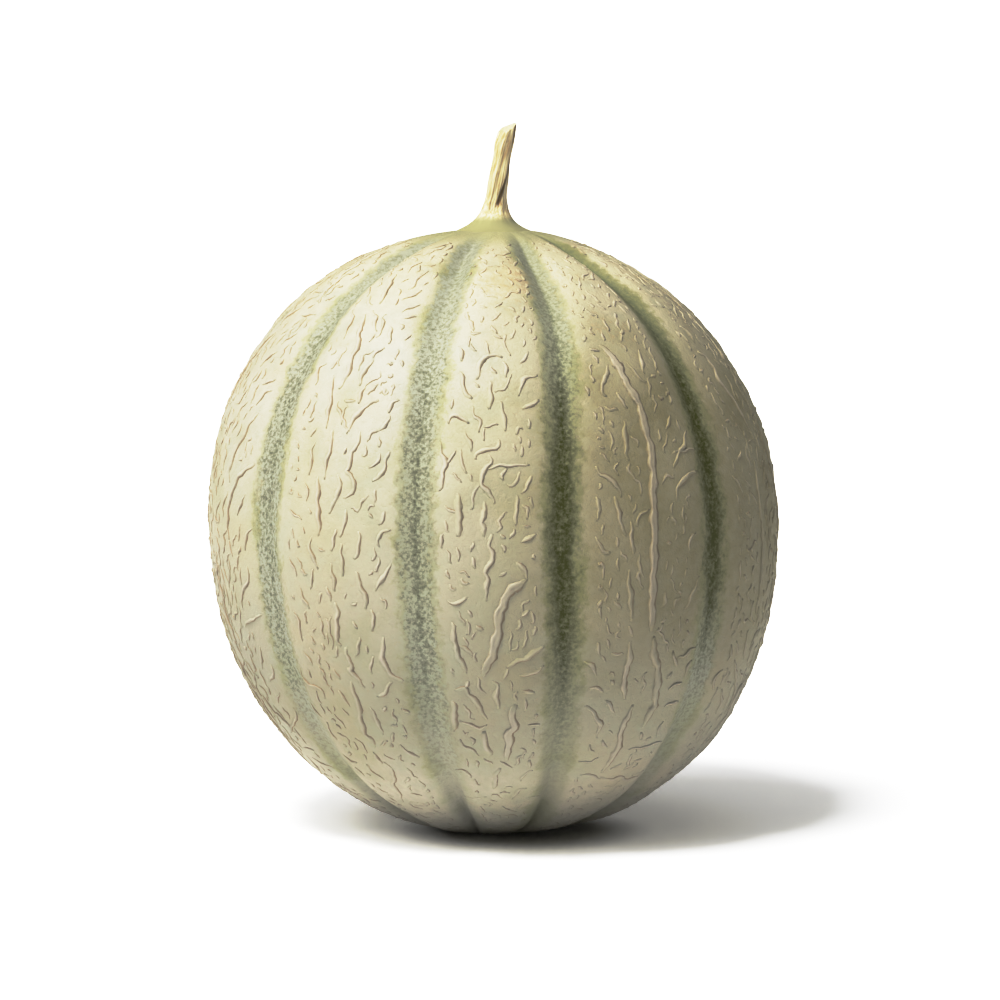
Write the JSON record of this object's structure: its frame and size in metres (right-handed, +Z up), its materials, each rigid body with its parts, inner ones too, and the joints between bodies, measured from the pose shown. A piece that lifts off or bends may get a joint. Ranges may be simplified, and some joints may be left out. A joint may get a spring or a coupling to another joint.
{
  "type": "cantaloupe melon",
  "caption": "Whole netted cantaloupe melon with lobed rind, sutures, raised corky net and a dried stem, standing on its blossom end.",
  "frame": {"origin": "centre of the small flat spot that the melon rests on", "axes": "+Z up along the melon's axis, towards the stem. -Y is the front"},
  "size_m": [0.1443, 0.1451, 0.1756],
  "materials": {
    "netted_rind": "satin",
    "dried_stem": "matte"
  },
  "bodies": {
    "root": {"fruit": "netted_rind", "stem": "dried_stem"}
  },
  "joints": []
}
